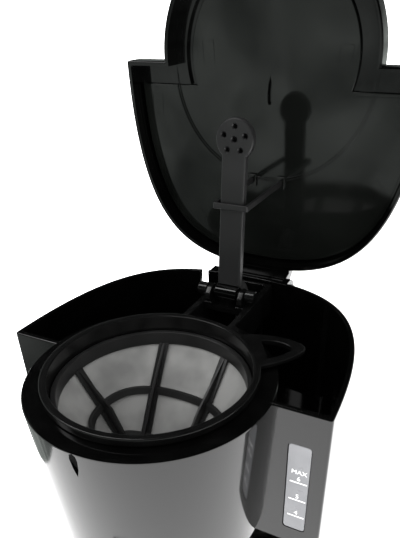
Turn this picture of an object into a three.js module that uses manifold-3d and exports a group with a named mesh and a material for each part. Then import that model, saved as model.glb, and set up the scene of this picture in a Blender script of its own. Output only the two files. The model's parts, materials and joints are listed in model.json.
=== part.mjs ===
// Drip coffee maker for six small cups, modelled with its lid open.
// Units are millimetres, +Z is up and the front faces -Y.
// Heights (z) are measured from the rim of the housing and depths (y) from the axis of the brew head.
// The last lines move the assembly so that it stands on z = 0 with its bounding box centred on x = y = 0.

import * as THREE from 'three';
import { mergeVertices } from 'three/addons/utils/BufferGeometryUtils.js';
import Module from 'manifold-3d';

const wasm = await Module();
wasm.setup();

// ---------------------------------------------------------------- driving dimensions

const RIM_HEIGHT = 230;        // rim of the housing above the table
const GAP = 0.3;               // clearance between neighbouring pieces
const WALL = 2.6;              // moulded walls
const SEGMENTS = 36;           // facets of a large round piece
const FINE = 20;               // facets of a small one

const HALF_WIDTH = 83;         // housing
const WING_Y = 2;              // flat front faces beside the brew head
const REAR_Y = 113;
const HEAD_RADIUS = 57;        // brew head at the rim
const HEAD_DRAFT = 4;          // degrees
const HEAD_BOTTOM = -81;
const BUCKET_BORE = 47.3;      // hole in the ring that carries the filter bucket

const COLUMN_HALF_WIDTH = 62;
const COLUMN_FRONT = 62;
const SUMP_BOTTOM = -135;      // deep part of the tank, inside the column
const BASE_RADIUS = 64;
const BASE_TOP = -190;
const BASE_BOTTOM = -227.5;

const HINGE = { y: 118.6, z: -5.8, left: -26, right: 24, ear: 4.2, radius: 4, pin: 1.5 };
const LID_OPEN = 90;           // degrees from closed
const LID_EDGE = 0.7;          // lower edge of the closed lid
const LID_TOP = 15;
const TONGUE_RADIUS = 58.5;    // lid over the brew head
const LINER_Z = 10.4;          // visible face of the liner when closed
const LINER_FRONT = 14.3;
const LINER_DISC = 46;

const PIVOT = { y: 80, z: 3.5 };
const ARM_LEAN = 6;            // degrees past vertical when open
const ARM_UNDER = 4.3;         // underside of the closed arm
const ARM_SPLIT = 8.2;         // joint between the arm and its cover
const ARM_TOP = 9.4;
const ARM_HALF_WIDTH = 6.5;
const SHOWER = { y: 1.3, radius: 10, holes: 5, circle: 6, hole: 1.3 };
const BAIL = { y: 62.8, bar: -40, halfWidth: 9.65, thick: 1.6, tall: 3 };

const BRIDGE = { half: 15.5, front: 49.7, rear: 108.8, top: -1.5, bottom: -6 };
const RISER_Y = 98;

const RIBS = 7;                // filter basket
const FIRST_RIB = -24;         // degrees from +Y
const NOTCH_BOTTOM = -33;      // opening in the brew head that the bail passes through
const VALVE_SEAT = -62.2;

const JUG_BOTTOM = -187.8;
const JUG_NECK = 42.4;
const JUG_TOP = -96;
const HANDLE_FRONT = -86;

const BASE_SCREWS = [[47, 8], [-47, 8], [40, 88], [-40, 88]];
const FEET = [[38, -34], [-38, -34], [46, 62], [-46, 62]];

// ---------------------------------------------------------------- materials

const finish = (color, roughness, metalness = 0, opacity = 1) => () => new THREE.MeshStandardMaterial({
  color, roughness, metalness, opacity, transparent: opacity < 1,
});
const glossBlack = finish(0x0b0b0c, 0.12);
const satinBlack = finish(0x151516, 0.4);
const charcoal = finish(0x2c2c2e, 0.45);
const darkGrey = finish(0x242425, 0.5);
const nylonMesh = finish(0xb9bab8, 0.7);
const smokedClear = finish(0xaeb1b6, 0.3);
const clearGlass = finish(0xdfe8ea, 0.05, 0, 0.35);
const silicone = finish(0xd8d6cf, 0.6);
const rubber = finish(0x1b1b1b, 0.9);
const steel = finish(0xb4b6b8, 0.3, 1);
const aluminium = finish(0xa6a8aa, 0.5, 1);
const coatedPlate = finish(0x161616, 0.45, 0.4);
const ceramic = finish(0xd9d3c4, 0.8);
const redLens = finish(0xa01812, 0.2);
const wireBlue = finish(0x2a4a8a, 0.5);
const wireBrown = finish(0x5a3420, 0.5);

// ---------------------------------------------------------------- geometry helpers

const v2 = (x, y) => new THREE.Vector2(x, y);
const v3 = (x, y, z) => new THREE.Vector3(x, y, z);
const rad = THREE.MathUtils.degToRad;

// A closed three.js geometry as a manifold solid, turned right side out.
function solid(geometry) {
  geometry.deleteAttribute('normal');
  geometry.deleteAttribute('uv');
  const merged = mergeVertices(geometry, 1e-4);
  const position = merged.attributes.position.array;
  const corners = [];
  let volume = 0;
  for (let i = 0; i < merged.index.count; i += 3) {
    const [a, b, c] = [0, 1, 2].map((k) => merged.index.getX(i + k));
    if (a === b || b === c || c === a) continue;
    corners.push(a, b, c);
    const [p, q, r] = [a, b, c].map((k) => new THREE.Vector3().fromArray(position, 3 * k));
    volume += p.dot(q.cross(r));
  }
  if (volume < 0) corners.reverse();
  return new wasm.Manifold(new wasm.Mesh({
    numProp: 3,
    vertProperties: new Float32Array(position),
    triVerts: new Uint32Array(corners),
  }));
}

function meshOf(name, shape, material) {
  const { vertProperties, triVerts } = shape.getMesh();
  const geometry = new THREE.BufferGeometry();
  geometry.setAttribute('position', new THREE.BufferAttribute(vertProperties, 3));
  geometry.setIndex(new THREE.BufferAttribute(triVerts, 1));
  geometry.computeVertexNormals();
  const mesh = new THREE.Mesh(geometry, material());
  mesh.name = name;
  return mesh;
}

const join = (first, ...others) => others.reduce((all, one) => all.add(one), first);
const cut = (first, ...others) => others.reduce((all, one) => all.subtract(one), first);

function extrude(shape, depth, curveSegments = 8) {
  return new THREE.ExtrudeGeometry(shape, { depth, bevelEnabled: false, curveSegments });
}

// A shape in the xy plane, from z0 up to z1.
const prism = (shape, z0, z1, steps) => solid(extrude(shape, z1 - z0, steps).translate(0, 0, z0));

// A shape given in (y, z), from x0 to x1.
function sidePrism(shape, x0, x1, steps) {
  const turn = new THREE.Matrix4().set(0, 0, 1, x0, 1, 0, 0, 0, 0, 1, 0, 0, 0, 0, 0, 1);
  return solid(extrude(shape, x1 - x0, steps).applyMatrix4(turn));
}

// A shape given in (x, z), from y0 back to y1.
function frontPrism(shape, y0, y1, steps) {
  return solid(extrude(shape, y1 - y0, steps).rotateX(Math.PI / 2).translate(0, y1, 0));
}

const box = (x0, x1, y0, y1, z0, z1) => solid(new THREE.BoxGeometry(x1 - x0, y1 - y0, z1 - z0)
  .translate((x0 + x1) / 2, (y0 + y1) / 2, (z0 + z1) / 2));

// A profile of [radius, z] corners turned about a vertical axis at (x, y).
function turned(profile, segments = SEGMENTS, x = 0, y = 0) {
  const points = [...profile, profile[0]].map(([r, z]) => v2(r, z));
  return solid(new THREE.LatheGeometry(points, segments).rotateX(Math.PI / 2).translate(x, y, 0));
}

const post = (r, z0, z1, x = 0, y = 0, segments = FINE) => turned([[0, z0], [r, z0], [r, z1], [0, z1]],
  segments, x, y);
const frustum = (r0, z0, r1, z1) => turned([[0, z0], [r0, z0], [r1, z1], [0, z1]]);
const ring = (rIn, rOut, z0, z1, segments, x, y) => turned([[rIn, z0], [rOut, z0], [rOut, z1], [rIn, z1]],
  segments, x, y);

// A cylinder along X or along Y.
const axleX = (r, x0, x1, y, z, segments = 16) => solid(new THREE.CylinderGeometry(r, r, x1 - x0, segments)
  .rotateZ(Math.PI / 2).translate((x0 + x1) / 2, y, z));
const axleY = (r, y0, y1, x, z, segments = 16) => solid(new THREE.CylinderGeometry(r, r, y1 - y0, segments)
  .translate(x, (y0 + y1) / 2, z));

function polygon(...corners) {
  return new THREE.Shape(corners.map(([x, y]) => v2(x, y)));
}

function roundedRect(x0, x1, y0, y1, r) {
  const shape = new THREE.Shape();
  shape.absarc(x1 - r, y1 - r, r, 0, Math.PI / 2);
  shape.absarc(x0 + r, y1 - r, r, Math.PI / 2, Math.PI);
  shape.absarc(x0 + r, y0 + r, r, Math.PI, 1.5 * Math.PI);
  shape.absarc(x1 - r, y0 + r, r, 1.5 * Math.PI, 2 * Math.PI);
  shape.closePath();
  return shape;
}

// A round bar or a tube along a smooth path.
function along(points, radius, bore, steps, sides = 8) {
  const section = new THREE.Shape().absarc(0, 0, radius, 0, 2 * Math.PI);
  if (bore) section.holes.push(new THREE.Path().absarc(0, 0, bore, 0, 2 * Math.PI));
  const extrudePath = new THREE.CatmullRomCurve3(points.map((p) => v3(...p)));
  return solid(new THREE.ExtrudeGeometry(section, { steps, extrudePath, curveSegments: sides / 2 }));
}

// Points along a plane curve, moved to its left by `inset`.
function offsetPoints(curve, inset, steps) {
  return Array.from({ length: steps + 1 }, (_, i) => {
    const point = curve.getPoint(i / steps);
    const tangent = curve.getTangent(i / steps);
    return v2(point.x - tangent.y * inset, point.y + tangent.x * inset);
  });
}

// Right half from front to rear, mirrored into a closed outline.
function mirrored(half) {
  half[half.length - 1].x = 0;
  const left = half.slice(0, -1).reverse().map((p) => v2(-p.x, p.y));
  return new THREE.Shape([...half, ...left]);
}

// ---------------------------------------------------------------- outlines

const HOUSING_SIDE = new THREE.CubicBezierCurve(
  v2(HALF_WIDTH, WING_Y), v2(82.8, 96), v2(50, REAR_Y), v2(0, REAR_Y));
const COLUMN_SIDE = new THREE.CubicBezierCurve(
  v2(COLUMN_HALF_WIDTH, COLUMN_FRONT), v2(61, 96), v2(38, REAR_Y), v2(0, REAR_Y));
const BASE_SIDE = new THREE.CubicBezierCurve(
  v2(BASE_RADIUS, 0), v2(BASE_RADIUS, 92), v2(44, REAR_Y), v2(0, REAR_Y));

function housingOutline(inset, front = WING_Y + inset) {
  const half = offsetPoints(HOUSING_SIDE, inset, 14);
  half[0].y = front;
  return mirrored(half.filter((p, i) => i === 0 || p.y > front + 0.5));
}

function columnOutline(inset) {
  const half = offsetPoints(COLUMN_SIDE, inset, 10);
  half[0].y = COLUMN_FRONT + inset;
  return mirrored(half.filter((p, i) => i === 0 || p.y > COLUMN_FRONT + inset + 0.5));
}

function baseOutline(inset) {
  const front = offsetPoints(new THREE.EllipseCurve(0, 0, BASE_RADIUS, BASE_RADIUS, -Math.PI / 2, 0), inset, 9);
  const side = offsetPoints(BASE_SIDE, inset, 9);
  front[0].x = 0;
  const half = [...front, ...side.slice(1)];
  half[half.length - 1].x = 0;
  const left = half.slice(1, -1).reverse().map((p) => v2(-p.x, p.y));
  return new THREE.Shape([...half, ...left]);
}

const headRadius = (z) => HEAD_RADIUS + z * Math.tan(rad(HEAD_DRAFT));
const headCone = (offset, z0, z1) => frustum(headRadius(z0) + offset, z0, headRadius(z1) + offset, z1);

// ---------------------------------------------------------------- groups, one for each moving body

const machine = new THREE.Group();
const lid = new THREE.Group();
const arm = new THREE.Group();
const rocker = new THREE.Group();
machine.add(lid, arm, rocker);

lid.position.set(0, HINGE.y, HINGE.z);
lid.rotation.x = -rad(LID_OPEN);
arm.position.set(0, PIVOT.y, PIVOT.z);
arm.rotation.x = -rad(LID_OPEN + ARM_LEAN);

const fixed = (name, shape, material) => machine.add(meshOf(name, shape, material));
const onLid = (name, shape, material) => lid.add(
  meshOf(name, shape.translate([0, -HINGE.y, -HINGE.z]), material));
const onArm = (name, shape, material) => arm.add(
  meshOf(name, shape.translate([0, -PIVOT.y, -PIVOT.z]), material));

// ---------------------------------------------------------------- housing: tank, brew head and hinge ears

const LEVEL = { x0: 65, x1: 76, z0: -71, z1: -18, corner: 2 };
const NIPPLE = { x: -24, y: 86, outer: 3.1, bore: 1.9 };
const HOUSING_FLOOR = HEAD_BOTTOM + WALL;
const SUMP_INSET = WALL + 4;
const EAR_WIDTH = 4;

function hingeEar(x0, x1) {
  const web = polygon([109.4, 0], [117, 0], [HINGE.y + 3, -3.5], [HINGE.y, HINGE.z - HINGE.ear], [109.4, -20]);
  return axleX(HINGE.ear, x0, x1, HINGE.y, HINGE.z).add(sidePrism(web, x0, x1));
}

function upperHousing() {
  const outside = join(
    prism(housingOutline(0), HEAD_BOTTOM, 0),
    headCone(0, HEAD_BOTTOM, 0),
    prism(columnOutline(SUMP_INSET), SUMP_BOTTOM, HEAD_BOTTOM + 1),
    post(NIPPLE.outer, SUMP_BOTTOM - 11, SUMP_BOTTOM + 1, NIPPLE.x, NIPPLE.y, 12),
    hingeEar(HINGE.left, HINGE.left + EAR_WIDTH),
    hingeEar(HINGE.right - EAR_WIDTH, HINGE.right),
  );
  const tank = prism(housingOutline(WALL), HOUSING_FLOOR, 1).subtract(headCone(0, HEAD_BOTTOM, 2));
  const bridgeNotch = box(-BRIDGE.half - GAP, BRIDGE.half + GAP, BRIDGE.front - GAP, 64, NOTCH_BOTTOM, 1);
  const hingeNotch = box(-31, -26.3, 100, 120, -9, 1);
  return cut(outside,
    tank,
    prism(columnOutline(SUMP_INSET + 2.2), SUMP_BOTTOM + 2.2, HOUSING_FLOOR + 1),
    post(NIPPLE.bore, SUMP_BOTTOM - 12, SUMP_BOTTOM + 3, NIPPLE.x, NIPPLE.y, 12),
    post(3.4, SUMP_BOTTOM - 1, SUMP_BOTTOM + 3, 0, RISER_Y, 16),
    headCone(-WALL, HOUSING_FLOOR, -WALL),
    post(BUCKET_BORE, -WALL - 1, 1, 0, 0, SEGMENTS),
    post(10, HEAD_BOTTOM - 1, HOUSING_FLOOR + 1),
    bridgeNotch,
    hingeNotch,
    frontPrism(roundedRect(LEVEL.x0, LEVEL.x1, LEVEL.z0, LEVEL.z1, LEVEL.corner), 0, 6, 4),
    axleX(HINGE.pin + GAP, HINGE.left - 1, HINGE.right + 1, HINGE.y, HINGE.z),
  );
}

function levelWindow() {
  const { x0, x1, z0, z1, corner } = LEVEL;
  const pane = roundedRect(x0 + GAP, x1 - GAP, z0 + GAP, z1 - GAP, corner - GAP);
  const flange = roundedRect(x0 - 2, x1 + 2, z0 - 2, z1 + 2, corner);
  return frontPrism(pane, WING_Y + 0.2, WING_Y + WALL + 1, 4)
    .add(frontPrism(flange, WING_Y + WALL + GAP, WING_Y + WALL + 1.8, 4));
}

// Cup inside the brew head that the filter bucket hangs in.
const brewWell = () => turned([[10, -77.8], [42.2, -77.8], [43.6, -76.4], [48.8, -13], [48.8, -2.9],
  [47.4, -2.9], [47.4, -13], [42.2, -76.2], [10, -76.2]]);

fixed('upper_housing', upperHousing(), glossBlack);
fixed('level_window', levelWindow(), smokedClear);
fixed('brew_well', brewWell(), satinBlack);

// ---------------------------------------------------------------- bridge over the tank, with the water pipe

const CHEEK = { x0: 8, x1: 11, top: 6.6 };

function bridgeFrame() {
  const { half, front, rear, top, bottom } = BRIDGE;
  const cheek = polygon([73, -3], [74.5, CHEEK.top - 3], [77.5, CHEEK.top], [82.5, CHEEK.top],
    [85.5, CHEEK.top - 3], [87, -3]);
  const body = join(
    box(-half, half, front, rear, bottom, top),
    box(-half, -12.2, 58, rear, -20, bottom + 1),
    box(12.2, half, 58, rear, -20, bottom + 1),
    sidePrism(cheek, CHEEK.x0, CHEEK.x1),
    sidePrism(cheek, -CHEEK.x1, -CHEEK.x0),
    box(-5, -2, front, front + 1.2, top - 1, -0.4),
    box(9, 12, front, front + 1.2, top - 1, -0.4),
  );
  return cut(body,
    prism(roundedRect(-12, 12, front + 1.2, 74.5, 1), -30, 3, 3),
    prism(roundedRect(-12, 12, 86.5, 106.5, 2), -30, 3, 3),
    box(-7.2, 7.2, 74, 87, -3.4, 3),
    axleX(2.3, -half, half, PIVOT.y, PIVOT.z),
  );
}

fixed('bridge_frame', bridgeFrame(), satinBlack);
fixed('riser_pipe', ring(2, 3.1, -150, -9, 16, 0, RISER_Y), aluminium);
fixed('riser_grommet', ring(3.4, 5.8, SUMP_BOTTOM + 2.5, SUMP_BOTTOM + 5.5, 20, 0, RISER_Y), silicone);
fixed('riser_elbow', along(
  [[0, RISER_Y, -16], [0, RISER_Y, -8], [0, 97.4, -3], [0, 94, 0.6], [0, 89, 1.5]], 4.6, 3.4, 10), rubber);

// ---------------------------------------------------------------- column behind the jug

const COLUMN_TOP = HEAD_BOTTOM - GAP;
const COLUMN_BOTTOM = BASE_TOP + GAP;
const PANEL = { half: 44, z0: -184, z1: -88 };

const columnShell = () => cut(
  prism(columnOutline(0), COLUMN_BOTTOM, COLUMN_TOP),
  prism(columnOutline(WALL), COLUMN_BOTTOM - 1, COLUMN_TOP + 1),
  box(-PANEL.half, PANEL.half, COLUMN_FRONT - 2, COLUMN_FRONT + WALL + 1, PANEL.z0, PANEL.z1),
);

function columnPanel() {
  const { half, z0, z1 } = PANEL;
  const clips = [-30, 30].map((x) => box(x - 4, x + 4, COLUMN_FRONT + 1.5, COLUMN_FRONT + 3.8, z0 + 10, z1 - 10));
  return join(box(-half + GAP, half - GAP, COLUMN_FRONT, COLUMN_FRONT + 2, z0 + GAP, z1 - GAP), ...clips);
}

fixed('column_shell', columnShell(), glossBlack);
fixed('column_panel', columnPanel(), satinBlack);

// ---------------------------------------------------------------- base

const COVER = { z0: -226.2, z1: -224 };
const SWITCH = { half: 11, z0: -216, z1: -199 };
const INLET_Z = -212;

function baseHousing() {
  const shell = prism(baseOutline(0), BASE_BOTTOM, BASE_TOP).subtract(
    prism(baseOutline(WALL), BASE_BOTTOM - 1, BASE_TOP - WALL));
  const bosses = BASE_SCREWS.map(([x, y]) => post(4, COVER.z1 + GAP, BASE_TOP - 1, x, y, 12));
  const bores = BASE_SCREWS.map(([x, y]) => post(1.8, COVER.z1 - 1, BASE_TOP - 12, x, y, 12));
  return cut(join(shell, ...bosses),
    ...bores,
    post(47, BASE_TOP - WALL - 1, BASE_TOP + 1, 0, 0, SEGMENTS),
    box(-31, 31, 68, 104, BASE_TOP - WALL - 1, BASE_TOP + 1),
    box(-SWITCH.half, SWITCH.half, -70, -55, SWITCH.z0, SWITCH.z1),
    axleY(5.5, 104, 118, 0, INLET_Z),
  );
}

const bottomCover = () => cut(
  prism(baseOutline(WALL + GAP), COVER.z0, COVER.z1),
  ...BASE_SCREWS.map(([x, y]) => post(1.9, COVER.z0 - 1, COVER.z1 + 1, x, y, 12)),
);

const baseScrew = (x, y) => join(
  post(1.5, COVER.z0 - 0.6, COVER.z1 + 12, x, y, 10),
  post(3.2, COVER.z0 - 1.2, COVER.z0 - GAP, x, y, 16),
);

// Bush in the rear wall that a mains lead would enter through.
const inletBush = () => axleY(5.2, 100, 113.5, 0, INLET_Z)
  .add(axleY(8, 113.3, 115.2, 0, INLET_Z))
  .subtract(axleY(3.2, 99, 116, 0, INLET_Z));

fixed('base_housing', baseHousing(), glossBlack);
fixed('bottom_cover', bottomCover(), satinBlack);
fixed('cord_inlet_bush', inletBush(), rubber);
FEET.forEach(([x, y], i) => fixed(`foot_${i + 1}`, turned(
  [[0, -RIM_HEIGHT], [7.2, -RIM_HEIGHT], [8, -RIM_HEIGHT + 1], [8, COVER.z0 - GAP], [0, COVER.z0 - GAP]],
  FINE, x, y), rubber));
BASE_SCREWS.forEach(([x, y], i) => fixed(`base_screw_${i + 1}`, baseScrew(x, y), steel));

// ---------------------------------------------------------------- hot plate, heater and water lines

const STUB = { x: 16, y: 62, z: -198.6, outer: 3.1, bore: 1.9 };
const HOSE = { outer: 5.2, bore: 3.7, steps: 16 };
const HEATER = { inner: 20, outer: 41, z0: -201.5, z1: -191 };

const hotPlate = () => turned([[0, -190.2], [43.4, -190.2], [43.4, -193.5], [45, -193.5], [45, -189.2],
  [43.8, -188.4], [40, -188.4], [39, -188.8], [0, -188.8]]);

function heaterCasting() {
  const { inner, outer, z0, z1 } = HEATER;
  const body = ring(inner, outer, z0, z1, SEGMENTS).subtract(box(-8, 8, 0, 60, z0 - 1, z1 + 1));
  const stubs = [-STUB.x, STUB.x].map((x) => axleY(STUB.outer, 30, STUB.y, x, STUB.z, 12));
  const bores = [-STUB.x, STUB.x].map((x) => axleY(STUB.bore, 40, STUB.y + 1, x, STUB.z, 12));
  return cut(join(body, ...stubs), ...bores);
}

const heaterBracket = () => frontPrism(polygon(
  [-46, -194], [-46, -210.8], [46, -210.8], [46, -194], [44.5, -194], [44.5, -209.4], [-44.5, -209.4],
  [-44.5, -194]), -12, 2);

const thermostat = () => join(
  post(8, -208.2, -202, -30, 0),
  box(-36, -34, -12, 12, -206, -204),
);

fixed('hot_plate', hotPlate(), coatedPlate);
fixed('plate_gasket', ring(45.3, 48.6, BASE_TOP + GAP, BASE_TOP + 1.2), silicone);
fixed('heater_casting', heaterCasting(), aluminium);
fixed('heater_bracket', heaterBracket(), steel);
fixed('thermostat', thermostat(), ceramic);
[-1, 1].forEach((side, i) => fixed(`thermal_fuse_${i + 1}`,
  axleY(2.2, -12, 6, 30 + side * 4, -205, 12), ceramic));
fixed('inlet_hose', along([[NIPPLE.x, NIPPLE.y, -137], [NIPPLE.x, NIPPLE.y, -160], [NIPPLE.x, NIPPLE.y, -180],
  [-22, 84, -192], [-18, 75, STUB.z], [-STUB.x, 64, STUB.z], [-STUB.x, 54, STUB.z]],
  HOSE.outer, HOSE.bore, HOSE.steps), silicone);
fixed('outlet_hose', along([[0, RISER_Y, -140], [0, RISER_Y, -156], [3, RISER_Y - 1, -174],
  [9, 92, -190], [14, 80, STUB.z], [STUB.x, 66, STUB.z], [STUB.x, 54, STUB.z]],
  HOSE.outer, HOSE.bore, HOSE.steps), silicone);
fixed('check_valve_ball', solid(new THREE.SphereGeometry(2.6, 12, 8).translate(NIPPLE.x, NIPPLE.y, -151)), steel);
fixed('terminal_block', box(-12, 12, 84, 96, -222, -214).subtract(box(-9, 9, 88, 92, -218, -213)), ceramic);
fixed('live_wire', along([[8, 83.6, -219], [14, 70, -220], [30, 40, -216], [34, 14, -206], [34, 7, -205]],
  1.1, 0, 14, 6), wireBrown);
fixed('neutral_wire', along([[-8, 83.6, -219], [-14, 66, -220], [-28, 40, -216], [-33, 22, -207], [-35, 13, -205]],
  1.1, 0, 14, 6), wireBlue);

// ---------------------------------------------------------------- switch

const ROCKER = { half: 8.2, y: -60, z: -207.5, travel: 20 };

function switchBody() {
  const outside = join(
    frontPrism(roundedRect(-13, 13, -218.5, -193, 2.5), -66.2, -64.3, 4),
    box(-10.7, 10.7, -64.5, -50, SWITCH.z0 + GAP, SWITCH.z1 - GAP),
  );
  return cut(outside,
    box(-8.6, 8.6, -68, -53, -214, -201),
    axleY(2.5, -68, -63, 0, -196),
  );
}

// The rocker is drawn level and turned to its off position about its own pivot.
function switchRocker() {
  const profile = polygon([-67.6, -212.3], [-66.4, -207.5], [-67.6, -202.7], [-60, -203], [-56.5, -205.5],
    [-56.5, -209.5], [-60, -212]);
  return sidePrism(profile, -ROCKER.half, ROCKER.half).translate([0, -ROCKER.y, -ROCKER.z]);
}

rocker.position.set(0, ROCKER.y, ROCKER.z);
rocker.rotation.x = -rad(ROCKER.travel / 2);
rocker.add(meshOf('switch_rocker', switchRocker(), redLens));
fixed('switch_body', switchBody(), satinBlack);
fixed('pilot_lens', axleY(2.2, -66.7, -64.6, 0, -196), redLens);

// ---------------------------------------------------------------- lid

// Housing outline with the round tongue over the brew head, as a solid.
const lidSlab = (inset, z0, z1) => prism(housingOutline(inset), z0, z1)
  .add(ring(0, TONGUE_RADIUS - inset, z0, z1, SEGMENTS));

function lidShell() {
  const knuckle = polygon([110.2, 1.4], [113.4, 1.4], [114.8, -4], [HINGE.y, HINGE.z - 3], [122.4, -4.6],
    [121, 2], [116, 8], [110.2, 10]);
  const [x0, x1] = [HINGE.left + EAR_WIDTH + GAP, HINGE.right - EAR_WIDTH - GAP];
  const outside = join(lidSlab(0, LID_EDGE, 11), lidSlab(1, 10.9, 13.2), lidSlab(3, 13.1, LID_TOP),
    axleX(HINGE.radius, x0, x1, HINGE.y, HINGE.z), sidePrism(knuckle, x0, x1));
  return cut(outside,
    lidSlab(2.4, LID_EDGE - 1, 12.7),
    axleX(HINGE.pin + GAP, HINGE.left, HINGE.right, HINGE.y, HINGE.z),
  );
}

// Panel snapped inside the lid: a disc over the filter and a wide part over the tank.
function lidLiner() {
  const panel = join(
    prism(housingOutline(3.4, LINER_FRONT), LINER_Z, 12),
    ring(0, LINER_DISC, LINER_Z, 12),
  );
  const ridge = cut(ring(55.6, 56.8, LINER_Z - 0.8, LINER_Z + 0.2, SEGMENTS, 0, 5.6),
    box(-90, 90, -90, LINER_FRONT, 0, 20));
  const { y, halfWidth, thick, tall } = BAIL;
  const sockets = [-1, 1].map((side) => box(side * (halfWidth - thick / 2) - 2.5,
    side * (halfWidth - thick / 2) + 2.5, y - tall / 2 - 2, y + tall / 2 + 2, 8.4, LINER_Z + 0.2));
  const slots = [-1, 1].map((side) => box(side * (halfWidth - thick / 2) - thick / 2 - GAP,
    side * (halfWidth - thick / 2) + thick / 2 + GAP, y - tall / 2 - GAP, y + tall / 2 + GAP, 0, LINER_Z + 1));
  return cut(join(panel, ridge, ...sockets), ...slots);
}

// Loop that stands out of the liner and lifts the arm.
function lidBail() {
  const { y, bar, halfWidth, thick, tall } = BAIL;
  const outer = polygon([-halfWidth, bar - thick / 2], [halfWidth, bar - thick / 2], [halfWidth, LINER_Z],
    [halfWidth - thick, LINER_Z], [halfWidth - thick, bar + thick / 2], [thick - halfWidth, bar + thick / 2],
    [thick - halfWidth, LINER_Z], [-halfWidth, LINER_Z]);
  return frontPrism(outer, y - tall / 2, y + tall / 2);
}

onLid('lid_shell', lidShell(), glossBlack);
onLid('lid_liner', lidLiner(), satinBlack);
onLid('lid_bail', lidBail(), charcoal);
onLid('lid_hinge_pin', axleX(HINGE.pin, HINGE.left - 0.8, HINGE.right + 1.6, HINGE.y, HINGE.z), steel);

// ---------------------------------------------------------------- water outlet arm

function armBody() {
  const plan = (inset, z0, z1) => join(
    ring(0, SHOWER.radius - inset, z0, z1, 24, 0, SHOWER.y),
    box(-ARM_HALF_WIDTH + inset, ARM_HALF_WIDTH - inset, SHOWER.y, PIVOT.y + 3 - inset, z0, z1),
  );
  const drips = Array.from({ length: SHOWER.holes }, (_, i) => {
    const angle = rad(-90) + i * 2 * Math.PI / SHOWER.holes;
    return post(SHOWER.hole, 0, 9, SHOWER.circle * Math.cos(angle), SHOWER.y + SHOWER.circle * Math.sin(angle), 8);
  });
  return cut(join(plan(0, ARM_UNDER, ARM_SPLIT), axleX(4, -ARM_HALF_WIDTH, ARM_HALF_WIDTH, PIVOT.y, PIVOT.z)),
    plan(1.6, ARM_UNDER + 1.5, ARM_SPLIT + 1).subtract(box(-20, 20, PIVOT.y - 6, PIVOT.y + 10, 0, 20)),
    axleX(2.3, -20, 20, PIVOT.y, PIVOT.z),
    axleY(1.2, PIVOT.y - 8, PIVOT.y - 2, 0, 6.6, 8),
    post(SHOWER.hole, 0, 9, 0, SHOWER.y, 12),
    ...drips,
  );
}

const armCover = () => join(
  ring(0, SHOWER.radius - 0.4, ARM_SPLIT + GAP, ARM_TOP, 24, 0, SHOWER.y),
  box(-ARM_HALF_WIDTH + 0.4, ARM_HALF_WIDTH - 0.4, SHOWER.y, PIVOT.y + 2, ARM_SPLIT + GAP, ARM_TOP),
);

const armShaft = () => join(
  axleX(2, -14, 14, PIVOT.y, PIVOT.z),
  axleX(3.6, CHEEK.x1 + GAP, 16.8, PIVOT.y, PIVOT.z),
  axleX(3.6, -16.8, -CHEEK.x1 - GAP, PIVOT.y, PIVOT.z),
);

onArm('arm_body', armBody(), charcoal);
onArm('arm_cover', armCover(), charcoal);
onArm('arm_pivot_shaft', armShaft(), satinBlack);

// ---------------------------------------------------------------- filter bucket with its drip stop

const BUCKET_TOP = 4;
const LOOP = { z0: 1, z1: 3.4 };

function fingerLoop() {
  const outline = new THREE.Shape();
  outline.moveTo(24.1, 42.1);
  outline.lineTo(43, 20.4);
  outline.bezierCurveTo(50, 27, 54.5, 33, 57.1, 40.3);
  outline.bezierCurveTo(58.8, 45, 54, 47.5, 46.4, 48.1);
  outline.bezierCurveTo(40, 48.6, 32, 47, 24.1, 42.1);
  const hole = new THREE.Path();
  hole.moveTo(36, 41.5);
  hole.bezierCurveTo(40, 43.5, 45, 43.8, 49, 42.6);
  hole.bezierCurveTo(52, 41.6, 52.2, 39.6, 51, 37);
  hole.bezierCurveTo(49, 33, 47, 30.5, 44.6, 28.4);
  outline.holes.push(hole);
  return prism(outline, LOOP.z0, LOOP.z1, 8);
}

function filterBucket() {
  const cup = turned([
    [3.4, -64], [6.8, -64], [6.8, -72], [8.5, -72], [8.5, -64], [34, -64], [37.5, -61.5], [47, -12],
    [47, 0.4], [48.9, 0.4], [48.9, BUCKET_TOP], [45.6, BUCKET_TOP], [45.6, -6.3], [44.7, -6.6], [44.7, -12.3],
    [35.8, -60], [33.5, VALVE_SEAT], [3.4, VALVE_SEAT]]);
  const chord = new THREE.BoxGeometry(10, 40, 4).translate(46.2 + 5, 0, LOOP.z1 + 2).rotateZ(rad(43));
  return join(cup, fingerLoop()).subtract(solid(chord));
}

const SPRING = { turns: 4, radius: 4.2, wire: 0.35, top: -65, length: 12, steps: 32 };

const springPath = Array.from({ length: SPRING.steps + 1 }, (_, i) => {
  const angle = i / SPRING.steps * SPRING.turns * 2 * Math.PI;
  return [SPRING.radius * Math.cos(angle), SPRING.radius * Math.sin(angle),
    SPRING.top - i / SPRING.steps * SPRING.length];
});

fixed('filter_bucket', filterBucket(), satinBlack);
fixed('valve_plunger', turned([[0, -86], [5.5, -86], [5.5, -84.4], [2.2, -84.4], [2.2, -79.6], [5, -79.6],
  [5, -78], [2.2, -78], [2.2, -60.6], [5.2, -60.6], [5.2, -59.4], [0, -58.6]], FINE), charcoal);
fixed('valve_seal', ring(2.5, 5.4, VALVE_SEAT + GAP, -60.9, FINE), silicone);
fixed('valve_spring', along(springPath, SPRING.wire, 0, SPRING.steps, 6), steel);

// ---------------------------------------------------------------- filter basket

const BASKET = [[44.4, -10.4], [38, -23], [28, -35.5], [16, -46.5]];

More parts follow.
